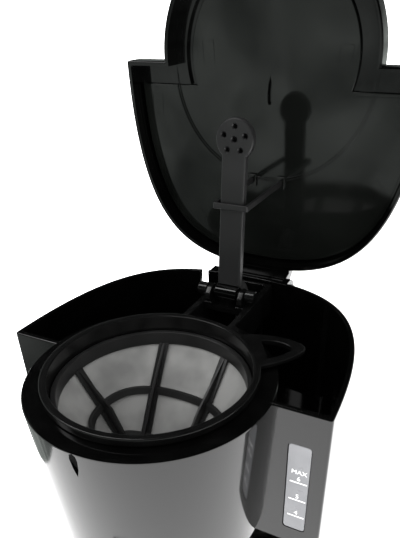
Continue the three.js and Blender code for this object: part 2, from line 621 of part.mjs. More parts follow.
function filterFrame() {
  const rim = turned([[43, -11.4], [44.3, -11.4], [44.4, -6.3], [45.3, -6], [45.3, -4.3], [43, -4.3]], 4 * RIBS);
  const inner = BASKET.map(([r, z]) => [r - 1.3, z + 1.3]);
  const rib = sidePrism(polygon(...BASKET, ...inner.reverse()), -2.2, 2.2);
  const fin = sidePrism(polygon([42.8, -8], [16, -46], [12, -43], [40.8, -8]), -0.7, 0.7);
  const ribs = Array.from({ length: RIBS }, (_, i) => rib.add(fin).rotate([0, 0, FIRST_RIB + i * 360 / RIBS]));
  const middle = turned([[33, -29.4], [33.6, -27.6], [31.2, -27.6], [30, -31.2], [31.4, -31.2]], 4 * RIBS);
  const foot = turned([[0, -46.5], [16, -46.5], [17, -44.6], [0, -44.6]], FINE);
  return join(rim, middle, foot, ...ribs);
}

function filterMesh() {
  const inner = BASKET.map(([r, z]) => [r + 0.45, z - 0.4]);
  inner[0] = [44.15, -11.8];
  const outer = inner.map(([r, z]) => [r + 0.3, z - 0.35]);
  return turned([...inner, ...outer.reverse()], 4 * RIBS);
}

fixed('filter_frame', filterFrame(), darkGrey);
fixed('filter_mesh', filterMesh(), nylonMesh);

// ---------------------------------------------------------------- jug

const JUG = [[38, JUG_BOTTOM], [47, -183], [55.5, -164], [54.8, -142], [47, -120], [JUG_NECK, -109],
  [JUG_NECK, JUG_TOP]];
const GLASS = 1.8;

function jugGlass() {
  const inside = JUG.map(([r, z]) => [r - GLASS, z]).reverse();
  inside[inside.length - 1] = [36.5, JUG_BOTTOM + GLASS];
  return turned([[0, JUG_BOTTOM], ...JUG, ...inside, [0, JUG_BOTTOM + GLASS]], 32);
}

const BAND = { z0: -108, z1: -98 };
const LUG = { y: -50, z: -103 };

const jugBand = () => cut(
  join(ring(JUG_NECK + GAP, JUG_NECK + 2.2, BAND.z0, BAND.z1), box(-2.5, 2.5, -54, -43.4, -107, -99)),
  axleX(1.9, -5, 5, LUG.y, LUG.z, 12),
);

function jugHandle() {
  const grip = new THREE.Shape();
  grip.moveTo(-46, -97.5);
  grip.lineTo(-74, -97.5);
  grip.bezierCurveTo(-84, -97.5, -87, -104, HANDLE_FRONT, -112);
  grip.bezierCurveTo(-86, -135, -83, -152, -76, -168);
  grip.bezierCurveTo(-74.5, -172, -69, -171.5, -69, -167);
  grip.bezierCurveTo(-72, -150, -76, -135, -75.5, -116);
  grip.bezierCurveTo(-75.5, -110, -72, -108.5, -68, -108.5);
  grip.lineTo(-46, -108.5);
  grip.closePath();
  return cut(sidePrism(grip, -8, 8, 6),
    box(-2.8, 2.8, -54.5, -40, -107.5, -98.5),
    axleX(1.9, -7, 9, LUG.y, LUG.z, 12),
    axleX(3.5, 5.5, 9, LUG.y, LUG.z, 16),
  );
}

const handleScrew = () => axleX(1.6, -6, 7, LUG.y, LUG.z, 12).add(axleX(3.1, 6, 7.6, LUG.y, LUG.z, 16));

const jugLid = () => turned([[5, -89], [8, -92.5], [12, -89.4], [34, -91], [38.6, -94],
  [38.6, -101], [40.3, -101], [40.3, JUG_TOP + 0.4], [44.2, JUG_TOP + 0.4], [44.2, -93], [38, -89],
  [14, -86.4]], 28)
  .add(box(-12, 12, -45.6, -38, JUG_TOP + 0.4, -92.4));

fixed('jug_glass', jugGlass(), clearGlass);
fixed('jug_band', jugBand(), steel);
fixed('jug_handle', jugHandle(), glossBlack);
fixed('handle_screw', handleScrew(), steel);
fixed('jug_lid', jugLid(), satinBlack);

// ---------------------------------------------------------------- placing

const extent = new THREE.Box3().setFromObject(machine);
machine.position.set(0, -(extent.min.y + extent.max.y) / 2, RIM_HEIGHT);

export default machine;
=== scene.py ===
"""Drip coffee maker with its lid open, in a pale studio.

Local sizes are millimetres: z from the rim of the housing, y from the axis of the brew head.
"""

import json
import math

import bpy
import bmesh
from mathutils import Matrix, Vector


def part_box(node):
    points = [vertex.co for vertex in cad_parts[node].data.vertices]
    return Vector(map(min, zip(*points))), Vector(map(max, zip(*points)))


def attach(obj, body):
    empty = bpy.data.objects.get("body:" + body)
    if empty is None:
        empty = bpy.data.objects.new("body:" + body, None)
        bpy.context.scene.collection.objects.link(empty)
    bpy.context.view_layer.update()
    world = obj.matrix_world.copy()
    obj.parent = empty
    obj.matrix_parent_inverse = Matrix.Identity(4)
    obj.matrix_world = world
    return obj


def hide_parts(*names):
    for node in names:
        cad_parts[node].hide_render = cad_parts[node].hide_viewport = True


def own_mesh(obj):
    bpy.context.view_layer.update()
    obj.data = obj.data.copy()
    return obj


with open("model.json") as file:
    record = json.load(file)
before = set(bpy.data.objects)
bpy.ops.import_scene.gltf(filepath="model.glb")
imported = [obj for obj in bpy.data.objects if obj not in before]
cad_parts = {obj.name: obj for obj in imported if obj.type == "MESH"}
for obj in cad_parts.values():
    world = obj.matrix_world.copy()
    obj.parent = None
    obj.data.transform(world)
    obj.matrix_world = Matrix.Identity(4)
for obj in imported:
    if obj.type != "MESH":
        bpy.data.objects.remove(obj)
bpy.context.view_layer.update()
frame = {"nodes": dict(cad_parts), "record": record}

PLATE_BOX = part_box("hot_plate")
AXIS_Y = (PLATE_BOX[0][1] + PLATE_BOX[1][1]) / 2          # axis of the brew head
RIM_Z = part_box("upper_housing")[1][2]                     # rim of the housing


def place(x, y, z):
    """A point in local millimetres, in the row frame."""
    return Vector((x / 1000, y / 1000 + AXIS_Y, z / 1000 + RIM_Z))


# ---------------------------------------------------------------- camera and light

CAMERA_AT = (117.26, -167.0, 140.78)
CAMERA_YAW, CAMERA_PITCH, CAMERA_ROLL = 27.47, 33.87, -1.61
WHITE_STRENGTH = 3.2
FLOOR_X, FLOOR_Y = (-0.24, 0.9), (-0.5, 1.6)               # metres


def make_camera():
    """A hand-held view from above the front right corner."""
    yaw, pitch, roll = (math.radians(angle) for angle in (CAMERA_YAW, CAMERA_PITCH, CAMERA_ROLL))
    forward = Vector((-math.sin(yaw) * math.cos(pitch), math.cos(yaw) * math.cos(pitch), -math.sin(pitch)))
    right = Vector((math.cos(yaw), math.sin(yaw), 0))
    up = right.cross(forward)
    across = right * math.cos(roll) + up * math.sin(roll)
    above = up * math.cos(roll) - right * math.sin(roll)
    data = bpy.data.cameras.new("camera")
    data.sensor_width, data.lens = 36, 36.72
    data.shift_x, data.shift_y = -0.0211, 0.1733
    data.clip_start, data.clip_end = 0.01, 50
    camera = bpy.data.objects.new("camera", data)
    camera.matrix_world = Matrix.Translation(place(*CAMERA_AT)) @ Matrix(
        (across, above, -forward)).transposed().to_4x4()
    bpy.context.scene.collection.objects.link(camera)
    bpy.context.scene.camera = camera


def make_world():
    """White for the camera and for diffuse light, dim for reflections."""
    world = bpy.data.worlds.new("studio")
    bpy.context.scene.world = world
    world.use_nodes = True
    tree = world.node_tree
    tree.nodes.clear()
    path = tree.nodes.new("ShaderNodeLightPath")
    white = tree.nodes.new("ShaderNodeBackground")
    white.inputs["Color"].default_value = (1, 1, 1, 1)
    white.inputs["Strength"].default_value = WHITE_STRENGTH
    room = tree.nodes.new("ShaderNodeBackground")
    coords = tree.nodes.new("ShaderNodeTexCoord")
    parts = tree.nodes.new("ShaderNodeSeparateXYZ")
    height = tree.nodes.new("ShaderNodeMapRange")
    height.inputs["From Min"].default_value, height.inputs["From Max"].default_value = -0.05, 0.2
    height.inputs["To Min"].default_value, height.inputs["To Max"].default_value = 1.0, 0.02
    clouds = tree.nodes.new("ShaderNodeTexNoise")
    clouds.inputs["Scale"].default_value, clouds.inputs["Detail"].default_value = 7, 3
    clouds.inputs["Distortion"].default_value = 1.2
    shades = tree.nodes.new("ShaderNodeValToRGB")
    shades.color_ramp.elements[0].position, shades.color_ramp.elements[1].position = 0.35, 0.7
    shades.color_ramp.elements[0].color = (0.18, 0.2, 0.19, 1)
    shades.color_ramp.elements[1].color = (0.75, 0.8, 0.76, 1)
    mix = tree.nodes.new("ShaderNodeMixShader")
    out = tree.nodes.new("ShaderNodeOutputWorld")
    tree.links.new(coords.outputs["Generated"], parts.inputs[0])
    tree.links.new(parts.outputs["Z"], height.inputs["Value"])
    tree.links.new(coords.outputs["Generated"], clouds.inputs["Vector"])
    tree.links.new(clouds.outputs["Fac"], shades.inputs["Fac"])
    tree.links.new(shades.outputs["Color"], room.inputs["Color"])
    tree.links.new(height.outputs["Result"], room.inputs["Strength"])
    tree.links.new(path.outputs["Is Glossy Ray"], mix.inputs["Fac"])
    tree.links.new(white.outputs[0], mix.inputs[1])
    tree.links.new(room.outputs[0], mix.inputs[2])
    tree.links.new(mix.outputs[0], out.inputs["Surface"])


def area_light(name, where, target, size, power):
    """A soft light at a local place, turned to a local target."""
    data = bpy.data.lights.new(name, "AREA")
    data.shape = "RECTANGLE"
    data.size, data.size_y = size
    data.energy = power
    light = bpy.data.objects.new(name, data)
    light.location = place(*where)
    light.rotation_euler = (place(*target) - light.location).to_track_quat("-Z", "Y").to_euler()
    light.visible_camera = False
    bpy.context.scene.collection.objects.link(light)
    return light


def make_floor():
    """A pale sheet under the machine, no larger than its reflections need."""
    mesh = bpy.data.meshes.new("floor")
    (x0, x1), (y0, y1) = FLOOR_X, FLOOR_Y
    mesh.from_pydata([(x0, y0, 0), (x1, y0, 0), (x1, y1, 0), (x0, y1, 0)], [], [(0, 1, 2, 3)])
    floor = bpy.data.objects.new("floor", mesh)
    bpy.context.scene.collection.objects.link(floor)
    material = bpy.data.materials.new("pale_floor")
    material.use_nodes = True
    shader = material.node_tree.nodes["Principled BSDF"]
    shader.inputs["Base Color"].default_value = (0.86, 0.86, 0.86, 1)
    shader.inputs["Roughness"].default_value = 0.7
    mesh.materials.append(material)


bpy.context.scene.view_settings.view_transform = "Standard"
make_camera()
make_world()
make_floor()
area_light("rim_soft", (-260, -120, 420), (0, 20, 0), (0.12, 0.5), 0.8)

# ---------------------------------------------------------------- materials


def shader_of(name):
    material = bpy.data.materials.new(name)
    material.use_nodes = True
    return material, material.node_tree, material.node_tree.nodes["Principled BSDF"]


def object_noise(tree, scale, detail=2.0):
    """Noise fixed to the object, with `scale` features in a metre."""
    coords = tree.nodes.new("ShaderNodeTexCoord")
    noise = tree.nodes.new("ShaderNodeTexNoise")
    noise.inputs["Scale"].default_value = scale
    noise.inputs["Detail"].default_value = detail
    tree.links.new(coords.outputs["Object"], noise.inputs["Vector"])
    return noise.outputs["Fac"]


def spread(tree, value, low, high):
    """Noise mapped to a range."""
    node = tree.nodes.new("ShaderNodeMapRange")
    node.inputs["From Min"].default_value, node.inputs["From Max"].default_value = 0.3, 0.7
    node.inputs["To Min"].default_value, node.inputs["To Max"].default_value = low, high
    tree.links.new(value, node.inputs["Value"])
    return node.outputs["Result"]


def two_tone(tree, value, dark, light):
    """Noise mapped to a colour between two."""
    ramp = tree.nodes.new("ShaderNodeValToRGB")
    ramp.color_ramp.elements[0].position, ramp.color_ramp.elements[1].position = 0.35, 0.65
    ramp.color_ramp.elements[0].color = (*dark, 1)
    ramp.color_ramp.elements[1].color = (*light, 1)
    tree.links.new(value, ramp.inputs["Fac"])
    return ramp.outputs["Color"]


def bumps(tree, shader, layers):
    """Bump from noise layers of (features in a metre, depth in metres)."""
    normal = None
    for scale, depth in layers:
        node = tree.nodes.new("ShaderNodeBump")
        node.inputs["Strength"].default_value = 1
        node.inputs["Distance"].default_value = depth
        tree.links.new(object_noise(tree, scale), node.inputs["Height"])
        if normal:
            tree.links.new(normal, node.inputs["Normal"])
        normal = node.outputs["Normal"]
    tree.links.new(normal, shader.inputs["Normal"])


PLASTIC_IOR = 1.5


def surface(name, dark, light, rough, layers, mottle=60, metallic=0.0):
    """Moulded plastic, rubber or metal: colour and roughness vary gently, with fine bumps."""
    material, tree, shader = shader_of(name)
    shader.inputs["Metallic"].default_value = metallic
    shader.inputs["IOR"].default_value = PLASTIC_IOR
    tree.links.new(two_tone(tree, object_noise(tree, mottle), dark, light), shader.inputs["Base Color"])
    tree.links.new(spread(tree, object_noise(tree, mottle * 3, 4), *rough), shader.inputs["Roughness"])
    bumps(tree, shader, layers)
    return material


MATERIALS = {
    "gloss_shell": surface("gloss_shell", (.0003, .0003, .0003), (.0006, .0006, .0006), (.06, .12),
                           [(160, .00001)]),
    "satin_black": surface("satin_black", (.0006, .0006, .0006), (.0012, .0012, .0012), (.16, .24),
                           [(2600, .00001)]),
    "liner_plastic": surface("liner_plastic", (.0015, .0017, .0015), (.003, .0034, .003), (.05, .12),
                             [(14, .0008), (1800, .000003)], mottle=25),
    "charcoal_plastic": surface("charcoal_plastic", (.0028, .0028, .003), (.005, .005, .0052), (.36, .46),
                                [(2400, .000014)]),
    "basket_plastic": surface("basket_plastic", (.004, .004, .004), (.007, .007, .007), (.3, .42),
                              [(2400, .00001)]),
    "nylon_mesh": surface("nylon_mesh", (.085, .085, .083), (.13, .13, .126), (.5, .7), [(3000, .00006)]),
    "level_pane": surface("level_pane", (.15, .152, .16), (.18, .182, .19), (.25, .4), [(1500, .00002)]),
    "level_mark": surface("level_mark", (.8, .8, .8), (.85, .85, .85), (.4, .5), [(900, .00001)]),
    "clear_silicone": surface("clear_silicone", (.3, .29, .26), (.36, .35, .32), (.4, .55),
                              [(400, .00003)]),
    "black_rubber": surface("black_rubber", (.006, .006, .006), (.01, .01, .01), (.7, .85),
                            [(1800, .00005)]),
    "steel_parts": surface("steel_parts", (.5, .5, .51), (.62, .62, .63), (.22, .34),
                           [(900, .000008)], 200, 1.0),
    "water_pipe": surface("water_pipe", (.45, .45, .46), (.58, .58, .59), (.3, .42),
                          [(700, .00001)], 150, 1.0),
    "cast_heater": surface("cast_heater", (.3, .3, .31), (.42, .42, .43), (.5, .65),
                           [(500, .00008)], 150, 1.0),
    "coated_plate": surface("coated_plate", (.004, .004, .004), (.008, .008, .008), (.35, .5),
                            [(2200, .00003)]),
    "ceramic": surface("ceramic", (.35, .33, .28), (.42, .4, .34), (.6, .8), [(900, .00004)]),
    "red_lens": surface("red_lens", (.12, .003, .002), (.17, .005, .004), (.1, .2), [(300, .00001)]),
    "brown_wire": surface("brown_wire", (.05, .02, .008), (.07, .028, .012), (.35, .45), [(900, .00002)]),
    "blue_wire": surface("blue_wire", (.008, .03, .12), (.012, .04, .16), (.35, .45), [(900, .00002)]),
}


def clear_glass():
    material, tree, shader = shader_of("jug_glass")
    shader.inputs["Base Color"].default_value = (.97, .99, .99, 1)
    shader.inputs["Transmission Weight"].default_value = 1
    shader.inputs["IOR"].default_value = 1.47
    tree.links.new(spread(tree, object_noise(tree, 90), .015, .04), shader.inputs["Roughness"])
    bumps(tree, shader, [(45, .00004)])
    return material


MATERIALS["jug_glass"] = clear_glass()

slot_of = {part["node"]: part["material_slot"] for part in frame["record"]["subparts"]}
for node, obj in frame["nodes"].items():
    obj.data.materials.clear()
    obj.data.materials.append(MATERIALS[slot_of[node]])

# ---------------------------------------------------------------- solids, in local millimetres


def solid(points, faces):
    """A closed mesh object with its faces turned outwards."""
    mesh = bpy.data.meshes.new("solid")
    shape = bmesh.new()
    corners = [shape.verts.new(p) for p in points]
    for face in faces:
        shape.faces.new([corners[i] for i in face])
    bmesh.ops.recalc_face_normals(shape, faces=shape.faces)
    shape.to_mesh(mesh)
    shape.free()
    made = bpy.data.objects.new("solid", mesh)
    bpy.context.scene.collection.objects.link(made)
    return made


def loft(rings):
    """A skin over closed rings of equally many points, with flat ends."""
    count = len(rings[0])
    points = [p for ring in rings for p in ring]
    faces = [tuple(range(count)), tuple(range(len(points) - count, len(points)))]
    for level in range(len(rings) - 1):
        base = level * count
        for i in range(count):
            j = (i + 1) % count
            faces.append((base + i, base + j, base + count + j, base + count + i))
    return solid(points, faces)


def inset(outline, distance):
    """A counter-clockwise outline moved inwards along its mitres."""
    moved = []
    for i, (x, y) in enumerate(outline):
        before, after = outline[i - 1], outline[(i + 1) % len(outline)]
        a = Vector((x - before[0], y - before[1])).normalized()
        b = Vector((after[0] - x, after[1] - y)).normalized()
        n = Vector((-a.y - b.y, a.x + b.x))
        n = n / max(n.length_squared / 2, 0.25)
        moved.append((x + n.x * distance, y + n.y * distance))
    return moved


def slab(outline, z0, z1, low=0.5, high=0.5, steps=3):
    """An outline between two heights, with rounded lower and upper edges."""
    rings = []
    for k in range(steps + 1 if low else 1):
        turn = k / steps * math.pi / 2
        rings.append((low * (1 - math.sin(turn)), z0 + low * (1 - math.cos(turn))))
    for k in range(steps + 1 if high else 1):
        turn = k / steps * math.pi / 2
        rings.append((high * (1 - math.cos(turn)), z1 - high + high * math.sin(turn)))
    return loft([[(x, y, z) for x, y in inset(outline, d)] for d, z in rings])


def flared(outline, z0, top=0.0, rounding=0.6, steps=3):
    """A tool that hollows out an outline down to z0 and rounds the edge of the hole at the top."""
    rings = [(0, z0)]
    for k in range(steps + 1):
        turn = k / steps * math.pi / 2
        rings.append((-rounding * (1 - math.cos(turn)), top - rounding + rounding * math.sin(turn)))
    rings.append((-rounding, top + 2))
    return loft([[(x, y, z) for x, y in inset(outline, d)] for d, z in rings])


def filleted(profile, radius=0.5, steps=3):
    """Corners of a closed profile rounded, as far as its sides allow."""
    made = []
    for i, point in enumerate(profile):
        corner = Vector(point[:2])
        size = point[2] if len(point) > 2 else radius
        a = Vector(profile[i - 1][:2]) - corner
        b = Vector(profile[(i + 1) % len(profile)][:2]) - corner
        angle = a.angle(b)
        if size <= 0 or angle > math.radians(170):
            made.append(tuple(corner))
            continue
        reach = min(size / math.tan(angle / 2), a.length * 0.45, b.length * 0.45)
        start, end = corner + a.normalized() * reach, corner + b.normalized() * reach
        for k in range(steps + 1):
            t = k / steps
            made.append(tuple(start * (1 - t) ** 2 + corner * 2 * t * (1 - t) + end * t * t))
    return made


def turned(profile, segments=96, x=0.0, y=0.0):
    """A closed profile of (radius, height) turned about a vertical axis."""
    points, rows = [], []
    for r, z in profile:
        if r < 1e-6:
            rows.append([len(points)] * segments)
            points.append((x, y, z))
        else:
            rows.append(list(range(len(points), len(points) + segments)))
            points += [(x + r * math.cos(2 * math.pi * k / segments),
                        y + r * math.sin(2 * math.pi * k / segments), z) for k in range(segments)]
    faces = []
    for i, low in enumerate(rows):
        high = rows[(i + 1) % len(rows)]
        if low[0] == low[1] and high[0] == high[1]:
            continue
        for k in range(segments):
            j = (k + 1) % segments
            face = [low[k], low[j], high[j], high[k]]
            faces.append(tuple(dict.fromkeys(face)))
    return solid(points, faces)


def moved(made, matrix):
    made.data.transform(matrix)
    return made


def post(r, z0, z1, x=0.0, y=0.0, segments=48, rounding=0.0):
    profile = filleted([(0, z0, 0), (r, z0), (r, z1), (0, z1, 0)], rounding) if rounding else [
        (0, z0), (r, z0), (r, z1), (0, z1)]
    return turned(profile, segments, x, y)


def axle_x(r, x0, x1, y, z, segments=32, rounding=0.0):
    made = post(r, x0, x1, 0, 0, segments, rounding)
    return moved(made, Matrix.Translation((0, y, z)) @ Matrix.Rotation(math.pi / 2, 4, "Y"))


def side_slab(outline, x0, x1, rounding=0.4):
    """An outline of (y, z) corners from x0 to x1."""
    made = slab(outline, x0, x1, rounding, rounding)
    return moved(made, Matrix(((0, 0, 1, 0), (1, 0, 0, 0), (0, 1, 0, 0), (0, 0, 0, 1))))


def front_slab(outline, y0, y1, rounding=0.4):
    """An outline of (x, z) corners from y0 back to y1."""
    made = slab(outline, -y1, -y0, rounding, rounding)
    return moved(made, Matrix(((1, 0, 0, 0), (0, 0, -1, 0), (0, 1, 0, 0), (0, 0, 0, 1))))


def block(x0, x1, y0, y1, z0, z1, rounding=0.4):
    plan = filleted([(x0, y0), (x1, y0), (x1, y1), (x0, y1)], max(rounding, 0.01), 2)
    return slab(plan, z0, z1, rounding, rounding)


def combine(kind, first, others):
    """A boolean of solids. The tools are used up."""
    for other in others:
        modifier = first.modifiers.new("join", "BOOLEAN")
        modifier.operation, modifier.solver, modifier.object = kind, "MANIFOLD", other
    graph = bpy.context.evaluated_depsgraph_get()
    mesh = bpy.data.meshes.new_from_object(first.evaluated_get(graph))
    first.modifiers.clear()
    first.data = mesh
    for other in others:
        bpy.data.objects.remove(other)
    return first


def join(first, *others):
    return combine("UNION", first, others)


def cut(first, *others):
    return combine("DIFFERENCE", first, others)


def rounded(made, width, angle=40, segments=2):
    """Small rounds on the sharp edges of a solid."""
    modifier = made.modifiers.new("round", "BEVEL")
    modifier.width, modifier.segments = width, segments
    modifier.limit_method, modifier.angle_limit = "ANGLE", math.radians(angle)
    graph = bpy.context.evaluated_depsgraph_get()
    mesh = bpy.data.meshes.new_from_object(made.evaluated_get(graph))
    made.modifiers.clear()
    made.data = mesh
    return made


IN_ROW = Matrix.Translation((0, AXIS_Y, RIM_Z)) @ Matrix.Scale(0.001, 4)


def piece(name, made, body, slot, *nodes, smooth=35):
    """Finishes a solid as a piece of the object."""
    made.name = made.data.name = name
    made.data.transform(IN_ROW)
    made.data.materials.clear()
    made.data.materials.append(MATERIALS[slot])
    for face in made.data.polygons:
        face.use_smooth = True
        face.material_index = 0
    made.data.set_sharp_from_angle(angle=math.radians(smooth))
    normals = made.modifiers.new("normals", "WEIGHTED_NORMAL")
    normals.keep_sharp = True
    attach(made, body)
    if nodes:
        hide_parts(*nodes)
    return made


# ---------------------------------------------------------------- outlines


def swing(y, z, degrees):
    """A turn about an axis along X through (y, z)."""
    return (Matrix.Translation((0, y, z)) @ Matrix.Rotation(math.radians(degrees), 4, "X")
            @ Matrix.Translation((0, -y, -z)))


def bezier(a, b, c, d, steps):
    made = []
    for k in range(steps + 1):
        t = k / steps
        made.append(tuple((1 - t) ** 3 * a[i] + 3 * (1 - t) ** 2 * t * b[i]
                          + 3 * (1 - t) * t * t * c[i] + t ** 3 * d[i] for i in (0, 1)))
    return made


def arc(x, y, r, start, end, steps):
    return [(x + r * math.cos(math.radians(start + (end - start) * k / steps)),
             y + r * math.sin(math.radians(start + (end - start) * k / steps))) for k in range(steps + 1)]


def mirrored(half):
    """The right half, from front to rear, closed by its mirror image."""
    left = [(-x, y) for x, y in reversed(half) if abs(x) > 1e-6]
    return half + left


def curved_box(side, front, distance):
    """The plan of a wall with a curved back, moved inwards, with its front at a depth of its own."""
    curve = inset(mirrored(side), distance)[:len(side)]
    half = [(curve[0][0], front)] + [p for p in curve[1:] if p[1] > front + 0.4]
    half[-1] = (0.0, half[-1][1])
    return filleted([(*half[0], 1.5)] + [(*p, 0) for p in half[1:-1]] + [(*half[-1], 0)]
                    + [(-x, y, 0) for x, y in reversed(half[1:-1])] + [(-half[0][0], half[0][1], 1.5)])


HOUSING = bezier((83, 2), (82.8, 96), (50, 113), (0, 113), 48)
COLUMN = bezier((62, 62), (61, 96), (38, 113), (0, 113), 32)
WALL, HEAD_BOTTOM = 2.6, -81


def housing_outline(distance=0.0, front=None):
    return curved_box(HOUSING, 2 + distance if front is None else front, distance)


def head_radius(z):
    return 57 + z * math.tan(math.radians(4))


def head_cone(offset, z0, z1, rounding=0.0):
    profile = [(0, z0, 0), (head_radius(z0) + offset, z0, rounding),
               (head_radius(z1) + offset, z1, rounding), (0, z1, 0)]
    return turned(filleted(profile, rounding) if rounding else [p[:2] for p in profile], 128)


# ---------------------------------------------------------------- housing

PIN_BORE = 1.8
HINGE_Y, HINGE_Z, PIVOT_Y, PIVOT_Z = 118.6, -5.8, 80.0, 3.5


def hinge_ear(x0, x1):
    web = [(109.4, -20), (HINGE_Y, HINGE_Z - 4.2), (HINGE_Y + 3, -3.5), (117, 0), (109.4, 0)]
    return join(axle_x(4.2, x0, x1, HINGE_Y, HINGE_Z, 32, 0.4), side_slab(web, x0 + 0.05, x1 - 0.05, 0.3))


def build_housing():
    outside = join(
        slab(housing_outline(), HEAD_BOTTOM, 0, 0.6, 1.0, 4),
        head_cone(0, HEAD_BOTTOM, 0, 1.2),
        slab(curved_box(COLUMN, 62 + 6.6, 6.6), -135, HEAD_BOTTOM + 1),
        post(3.1, -146, -134, -24, 86, 24),
        hinge_ear(-26, -22), hinge_ear(20, 24))
    tank = cut(flared(housing_outline(WALL), HEAD_BOTTOM + WALL), head_cone(0, HEAD_BOTTOM, 0, 1.2),
               post(55.5, -5, 4))
    bore = turned(filleted([(0, -WALL - 1, 0), (47.3, -WALL - 1, 0), (47.3, -0.7, 0), (47.7, 0, 0.3),
                            (50, 3, 0), (0, 3, 0)]), 128)
    window = front_slab(filleted([(65, -71), (76, -71), (76, -18), (65, -18)], 2), 0, 6, 0)
    return cut(outside, tank,
               slab(curved_box(COLUMN, 62 + 8.8, 8.8), -132.8, HEAD_BOTTOM + WALL + 1),
               post(1.9, -147, -132, -24, 86, 24), post(3.4, -136, -132, 0, 98, 24),
               head_cone(-WALL, HEAD_BOTTOM + WALL, -WALL), bore, post(10, -82, -78),
               block(-15.8, 15.8, 49.4, 64, -33, 1), block(-31, -26.3, 100, 120, -9, 1, 0.6), window,
               axle_x(PIN_BORE, -27, 25, HINGE_Y, HINGE_Z, 24),
               front_slab([(0, -13.5), (1.3, -9), (1.9, -4), (1.5, -1.5), (0, -0.6), (-1.5, -1.5),
                           (-1.9, -4), (-1.3, -9)], -60, -54.9, 0))


piece("housing_shell", build_housing(), "housing", "gloss_shell", "upper_housing")

# ---------------------------------------------------------------- bucket and filter basket


def finger_loop():
    outline = ([(24.1, 42.1), (43, 20.4)] + bezier((43, 20.4), (50, 27), (54.5, 33), (57.1, 40.3), 12)[1:]
               + bezier((57.1, 40.3), (58.8, 45), (54, 47.5), (46.4, 48.1), 10)[1:]
               + bezier((46.4, 48.1), (40, 48.6), (32, 47), (24.1, 42.1), 10)[1:-1])
    hole = (bezier((44.6, 28.4), (47, 30.5), (49, 33), (51, 37), 10)
            + bezier((51, 37), (52.2, 39.6), (52, 41.6), (49, 42.6), 8)[1:]
            + bezier((49, 42.6), (45, 43.8), (40, 43.5), (36, 41.5), 10)[1:])
    plate = slab(outline, 1, 3.4, 0.4, 0.6)
    return cut(plate, flared(hole, 0, 3.4, 0.5))


def build_bucket():
    cup = turned(filleted([
        (3.4, -64), (6.8, -64), (6.8, -72), (8.5, -72), (8.5, -64), (34, -64, 2), (37.5, -61.5, 2),
        (47, -12), (47, 0.4, 0.2), (48.9, 0.4), (48.9, 4, 0.8), (45.6, 4, 0.8), (45.6, -6.3), (44.7, -6.6),
        (44.7, -12.3), (35.8, -60, 2), (33.5, -62.2), (3.4, -62.2)], 0.4), 128)
    chord = moved(slab([(0, -20), (10, -20), (10, 20), (0, 20)], 3.4, 8, 0, 0),
                  Matrix.Rotation(math.radians(43), 4, "Z") @ Matrix.Translation((46.2, 0, 0)))
    return cut(join(cup, finger_loop()), chord)


piece("bucket", build_bucket(), "bucket", "satin_black", "filter_bucket")

# Sections of the wedge-shaped basket: height, half length, half width, squareness.
BASKET = [(-10.6, 44.2, 44.2, 2), (-29.5, 33, 25.5, 2.4), (-46.5, 24, 7.5, 2.6)]
RIB_ANGLES = (0, 66, 114, 180, 246, 294)
STRIPS = ((2.6, (1.3, 1.3, 1.3)), (0.7, (1.6, 7, 5)))      # rib, then fin: half width, depths by section


def basket_point(section, angle, out, z=None):
    """A point on a section of the basket, moved out along its normal."""
    level, a, b, square = section
    c, s = math.cos(angle), math.sin(angle)
    across = Vector((math.copysign(abs(c) ** (2 - 2 / square), c) / a,
                     math.copysign(abs(s) ** (2 - 2 / square), s) / b)).normalized() * out
    return (a * math.copysign(abs(c) ** (2 / square), c) + across.x,
            b * math.copysign(abs(s) ** (2 / square), s) + across.y, level if z is None else z)


def basket_ring(section, out, z=None, sides=96):
    return [basket_point(section, (i + 0.5) / sides * 2 * math.pi, out, z) for i in range(sides)]


def wrapped(rings):
    """A skin over rings of equally many points, closed from the last ring to the first."""
    sides, count = len(rings[0]), len(rings)
    faces = [(k * sides + i, k * sides + (i + 1) % sides, (k + 1) % count * sides + (i + 1) % sides,
              (k + 1) % count * sides + i) for k in range(count) for i in range(sides)]
    return solid([point for ring in rings for point in ring], faces)


def basket_strip(angle, half, depths):
    """A strip that runs down the inside of the basket, as deep as the depths say."""
    stations = []
    for section, depth in zip(BASKET, depths):
        base = Vector(basket_point(section, angle, -0.3))
        inward = Vector(basket_point(section, angle, -1.3)) - base
        across = Vector((-inward.y, inward.x, 0)) * half
        stations.append([tuple(p) for p in (base - across, base + across, base + across + inward * depth,
                                            base - across + inward * depth)])
    return rounded(loft(stations), 0.25)


def build_basket():
    rim = turned(filleted([(43, -11.4), (44.3, -11.4), (44.4, -6.3), (45.3, -6), (45.3, -4.3, 0.4),
                           (43, -4.3, 0.6)], 0.2), 128)
    middle, foot = BASKET[1:]
    hoop = wrapped([basket_ring(middle, out, z) for out, z in (
        (-0.9, -31), (0.2, -28.3), (0, -27.8), (-1.4, -27.8), (-1.7, -28.3), (-2.7, -31))])
    pad = slab([(x, y) for x, y, z in basket_ring(foot, -0.1)], -46.5, -44.6, 0.2, 0.5)
    strips = [basket_strip(math.radians(angle), half, depths) for angle in RIB_ANGLES
              for half, depths in STRIPS]
    return join(rim, hoop, pad, *strips)


piece("basket_frame", build_basket(), "filter", "basket_plastic", "filter_frame")


def build_mesh():
    sections = [(-11.75, 43.7, 43.7, 2)] + BASKET[1:]
    return wrapped([basket_ring(section, 0.35) for section in sections]
                   + [basket_ring(section, 0.65) for section in reversed(sections)])


piece("basket_mesh", build_mesh(), "filter", "nylon_mesh", "filter_mesh")

# ---------------------------------------------------------------- lid, drawn closed and turned open

LID_OPEN = swing(HINGE_Y, HINGE_Z, -90)
LINER_FACE, LINER_FRONT = 10.4, 14.3


def disc(r, z0, z1, low=0.0, high=0.0, y=0.0):
    return turned(filleted([(0, z0, 0), (r, z0, low), (r, z1, high), (0, z1, 0)]), 144, 0, y)


